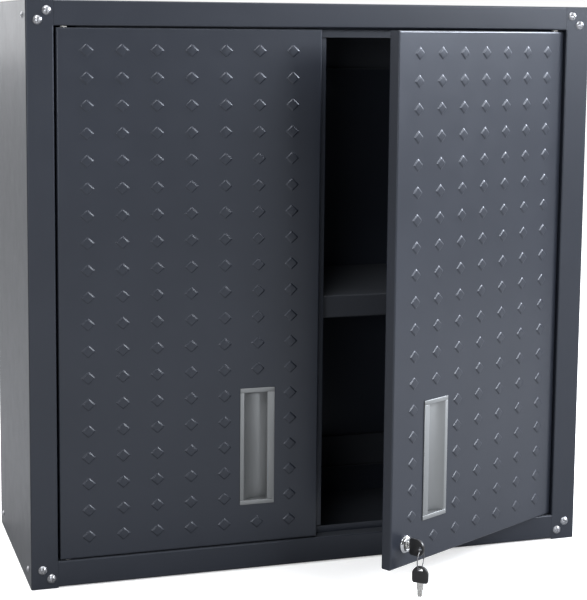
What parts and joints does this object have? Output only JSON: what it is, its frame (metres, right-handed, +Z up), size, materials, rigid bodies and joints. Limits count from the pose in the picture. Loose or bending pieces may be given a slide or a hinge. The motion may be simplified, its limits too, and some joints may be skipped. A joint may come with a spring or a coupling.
{
  "type": "hanging wall cabinet",
  "caption": "Wall-hung steel storage cabinet with hinged doors embossed with small lozenges, recessed pulls, a cam lock with keys on a ring, and an inner shelf.",
  "frame": {"origin": "centre of the four wall-fixing holes, on the wall face of the back panel", "axes": "+X to the cabinet's right as seen from the front, +Y towards the wall, +Z up"},
  "size_m": [0.709, 0.4298, 0.685],
  "materials": {
    "carcass_paint": "graphite powder coat, semi-gloss",
    "door_paint": "graphite powder coat, semi-gloss",
    "inner_paint": "graphite powder coat, satin",
    "rail_steel": "graphite powder coat, satin",
    "zinc": "bright zinc plate",
    "nylon": "natural white nylon",
    "bumper_rubber": "matt",
    "pull_aluminium": "silver satin anodised",
    "lock_chrome": "polished chrome",
    "key_steel": "nickel-plated steel, lightly worn",
    "key_plastic": "moulded black plastic"
  },
  "bodies": {
    "cabinet": {"left_side_panel": "carcass_paint", "right_side_panel": "carcass_paint", "top_panel": "carcass_paint", "bottom_panel": "carcass_paint", "back_panel": "carcass_paint", "upper_wall_rail": "rail_steel", "lower_wall_rail": "rail_steel", "corner_screws": "zinc", "corner_nuts": "zinc", "side_screws": "zinc", "side_nuts": "zinc", "back_rivets": "zinc", "left_front_strip": "rail_steel", "left_rear_strip": "rail_steel", "right_front_strip": "rail_steel", "right_rear_strip": "rail_steel", "shelf_clips": "zinc", "left_upper_bush": "nylon", "left_lower_bush": "nylon", "right_upper_bush": "nylon", "right_lower_bush": "nylon", "upper_catch": "nylon", "lower_catch": "nylon", "catch_plates": "zinc", "catch_screws": "zinc", "door_bumpers": "bumper_rubber"},
    "shelf": {"shelf": "carcass_paint"},
    "left_door": {"left_door_skin": "door_paint", "left_door_inner": "inner_paint", "left_door_stiffener": "inner_paint", "left_upper_pin": "zinc", "left_lower_pin": "zinc", "left_pull": "pull_aluminium", "left_pull_caps": "pull_aluminium", "overlap_strip": "inner_paint"},
    "right_door": {"right_door_skin": "door_paint", "right_door_inner": "inner_paint", "right_door_stiffener": "inner_paint", "right_upper_pin": "zinc", "right_lower_pin": "zinc", "right_pull": "pull_aluminium", "right_pull_caps": "pull_aluminium", "lock_barrel": "lock_chrome", "lock_nut": "zinc"},
    "lock_plug": {"lock_plug": "lock_chrome", "lock_cam": "zinc", "cam_screw": "zinc"},
    "key": {"key_blade": "key_steel", "key_bow": "key_plastic"},
    "key_ring": {"key_ring": "key_steel"},
    "spare_key": {"spare_key_blade": "key_steel", "spare_key_bow": "key_plastic"}
  },
  "joints": [
    {"name": "left_door_hinge", "type": "hinge", "parent": "cabinet", "child": "left_door", "pos_m": [-0.3083, -0.2625, 0], "axis": [0, 0, -1], "range_deg": [0, 110]},
    {"name": "right_door_hinge", "type": "hinge", "parent": "cabinet", "child": "right_door", "pos_m": [0.3083, -0.2625, 0], "axis": [0, 0, 1], "range_deg": [-28, 82]},
    {"name": "lock_turn", "type": "hinge", "parent": "right_door", "child": "lock_plug", "pos_m": [0.06433, -0.40071, -0.2831], "axis": [-0.4695, 0.8829, 0], "range_deg": [0, 90]},
    {"name": "key_withdraw", "type": "slide", "parent": "lock_plug", "child": "key", "axis": [0.4695, -0.8829, 0], "range_m": [0, 0.024]},
    {"name": "key_ring_swing", "type": "hinge", "parent": "key", "child": "key_ring", "pos_m": [0.07499, -0.42076, -0.2846], "axis": [-0.6691, -0.7431, 0], "range_deg": [-15, 40]},
    {"name": "spare_key_swing", "type": "hinge", "parent": "key_ring", "child": "spare_key", "pos_m": [0.07499, -0.42076, -0.3073], "axis": [-0.6691, -0.7431, 0], "range_deg": [-10, 35]},
    {"name": "shelf_lift", "type": "slide", "parent": "cabinet", "child": "shelf", "axis": [0, 0, 1], "range_m": [0, 0.15]}
  ]
}
